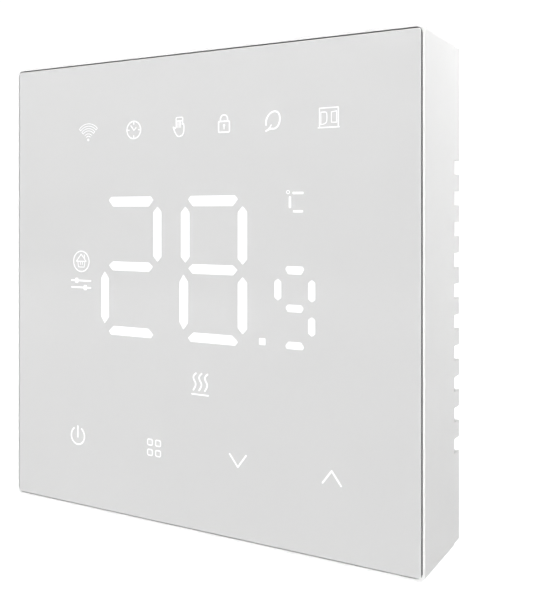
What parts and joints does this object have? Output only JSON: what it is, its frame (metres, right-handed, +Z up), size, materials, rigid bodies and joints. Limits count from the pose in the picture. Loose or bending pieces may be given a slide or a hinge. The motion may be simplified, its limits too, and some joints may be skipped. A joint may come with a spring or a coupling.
{
  "type": "wall thermostat",
  "caption": "Square white glass touch wall thermostat with numeric display, slide-off front unit and mains power base for a wall box.",
  "frame": {"origin": "centre of the front's outline in the wall plane, where the mounting plate's rear face meets the wall", "axes": "+X to the right as seen from the room, +Y into the wall, +Z up"},
  "size_m": [0.086, 0.0435, 0.086],
  "materials": {
    "white_printed_glass": "polished toughened glass, painted white on its back, so it reads as opaque gloss white",
    "white_plastic": "fine satin moulding",
    "foam_tape": "double sided foam tape",
    "printed_film": "thin matt film",
    "light_box_plastic": "opaque white moulding",
    "white_mask_board": "white solder mask over glass fibre board",
    "green_board": "green solder mask over glass fibre board",
    "zinc_steel": "zinc plated",
    "spring_steel": "bright drawn wire",
    "tin_can": "tinned shield",
    "black_plastic": "fine spark texture",
    "sensor_epoxy": "dipped epoxy bead",
    "grey_plastic": "satin moulding",
    "brass": "bright stamped",
    "copper_winding": "enamelled copper wire",
    "yellow_tape": "polyester tape over the winding",
    "ferrite": "sintered, dull",
    "blue_case": "gloss moulding",
    "green_housing": "satin moulding",
    "capacitor_sleeve": "shrunk sleeve",
    "film_case": "dipped case",
    "blue_epoxy": "dipped epoxy"
  },
  "bodies": {
    "power_base": {"mounting_plate": "zinc_steel", "wall_screw_left": "zinc_steel", "wall_screw_right": "zinc_steel", "power_housing": "black_plastic", "housing_screw_1": "zinc_steel", "housing_screw_2": "zinc_steel", "housing_screw_3": "zinc_steel", "housing_screw_4": "zinc_steel", "base_cover": "grey_plastic", "power_board": "green_board", "header_socket": "black_plastic", "relay_case": "blue_case", "relay_coil": "copper_winding", "relay_contact": "brass", "transformer_core": "ferrite", "transformer_winding": "yellow_tape", "smoothing_capacitor_large": "capacitor_sleeve", "smoothing_capacitor_small": "capacitor_sleeve", "film_capacitor": "film_case", "varistor": "blue_epoxy", "fuse": "black_plastic", "bridge_rectifier": "black_plastic", "terminal_block": "green_housing"},
    "front_unit": {"glass_panel": "white_printed_glass", "front_frame": "white_plastic", "glass_adhesive": "foam_tape", "diffuser_film": "printed_film", "light_box": "light_box_plastic", "display_board": "white_mask_board", "touch_spring_power": "spring_steel", "touch_spring_menu": "spring_steel", "touch_spring_down": "spring_steel", "touch_spring_up": "spring_steel", "radio_module": "tin_can", "controller_chip": "black_plastic", "buzzer": "black_plastic", "header_pins": "black_plastic", "room_sensor": "sensor_epoxy", "rear_cover": "grey_plastic", "cover_screw_1": "zinc_steel", "cover_screw_2": "zinc_steel", "cover_screw_3": "zinc_steel", "cover_screw_4": "zinc_steel"},
    "relay_armature_body": {"relay_armature": "zinc_steel"},
    "screw_1_body": {"terminal_screw_1": "zinc_steel"},
    "clamp_1_body": {"terminal_clamp_1": "brass"},
    "screw_2_body": {"terminal_screw_2": "zinc_steel"},
    "clamp_2_body": {"terminal_clamp_2": "brass"},
    "screw_3_body": {"terminal_screw_3": "zinc_steel"},
    "clamp_3_body": {"terminal_clamp_3": "brass"},
    "screw_4_body": {"terminal_screw_4": "zinc_steel"},
    "clamp_4_body": {"terminal_clamp_4": "brass"},
    "screw_5_body": {"terminal_screw_5": "zinc_steel"},
    "clamp_5_body": {"terminal_clamp_5": "brass"},
    "screw_6_body": {"terminal_screw_6": "zinc_steel"},
    "clamp_6_body": {"terminal_clamp_6": "brass"}
  },
  "joints": [
    {"name": "front_unit_release", "type": "slide", "parent": "power_base", "child": "front_unit", "axis": [0, -1, 0], "range_m": [0, 0.03]},
    {"name": "relay_pull_in", "type": "hinge", "parent": "power_base", "child": "relay_armature_body", "pos_m": [0.0158, 0.01535, -0.0027], "axis": [0, 0, 1], "range_deg": [0, 4], "stiffness_Nm_per_rad": 0.004, "springref_deg": -1.15},
    {"name": "terminal_screw_1_turn", "type": "hinge", "parent": "power_base", "child": "screw_1_body", "pos_m": [-0.0175, 0.0195, -0.018], "axis": [0, -1, 0], "range_deg": [0, 1440.5]},
    {"name": "terminal_clamp_1_lift", "type": "slide", "parent": "power_base", "child": "clamp_1_body", "axis": [0, 1, 0], "range_m": [0, 0.002]},
    {"name": "terminal_screw_2_turn", "type": "hinge", "parent": "power_base", "child": "screw_2_body", "pos_m": [-0.0105, 0.0195, -0.018], "axis": [0, -1, 0], "range_deg": [0, 1440.5]},
    {"name": "terminal_clamp_2_lift", "type": "slide", "parent": "power_base", "child": "clamp_2_body", "axis": [0, 1, 0], "range_m": [0, 0.002]},
    {"name": "terminal_screw_3_turn", "type": "hinge", "parent": "power_base", "child": "screw_3_body", "pos_m": [-0.0035, 0.0195, -0.018], "axis": [0, -1, 0], "range_deg": [0, 1440.5]},
    {"name": "terminal_clamp_3_lift", "type": "slide", "parent": "power_base", "child": "clamp_3_body", "axis": [0, 1, 0], "range_m": [0, 0.002]},
    {"name": "terminal_screw_4_turn", "type": "hinge", "parent": "power_base", "child": "screw_4_body", "pos_m": [0.0035, 0.0195, -0.018], "axis": [0, -1, 0], "range_deg": [0, 1440.5]},
    {"name": "terminal_clamp_4_lift", "type": "slide", "parent": "power_base", "child": "clamp_4_body", "axis": [0, 1, 0], "range_m": [0, 0.002]},
    {"name": "terminal_screw_5_turn", "type": "hinge", "parent": "power_base", "child": "screw_5_body", "pos_m": [0.0105, 0.0195, -0.018], "axis": [0, -1, 0], "range_deg": [0, 1440.5]},
    {"name": "terminal_clamp_5_lift", "type": "slide", "parent": "power_base", "child": "clamp_5_body", "axis": [0, 1, 0], "range_m": [0, 0.002]},
    {"name": "terminal_screw_6_turn", "type": "hinge", "parent": "power_base", "child": "screw_6_body", "pos_m": [0.0175, 0.0195, -0.018], "axis": [0, -1, 0], "range_deg": [0, 1440.5]},
    {"name": "terminal_clamp_6_lift", "type": "slide", "parent": "power_base", "child": "clamp_6_body", "axis": [0, 1, 0], "range_m": [0, 0.002]}
  ],
  "couplings": [
    {"joint": "terminal_screw_1_turn", "follows": "terminal_clamp_1_lift", "rad_per_m": 12566},
    {"joint": "terminal_screw_2_turn", "follows": "terminal_clamp_2_lift", "rad_per_m": 12566},
    {"joint": "terminal_screw_3_turn", "follows": "terminal_clamp_3_lift", "rad_per_m": 12566},
    {"joint": "terminal_screw_4_turn", "follows": "terminal_clamp_4_lift", "rad_per_m": 12566},
    {"joint": "terminal_screw_5_turn", "follows": "terminal_clamp_5_lift", "rad_per_m": 12566},
    {"joint": "terminal_screw_6_turn", "follows": "terminal_clamp_6_lift", "rad_per_m": 12566}
  ]
}
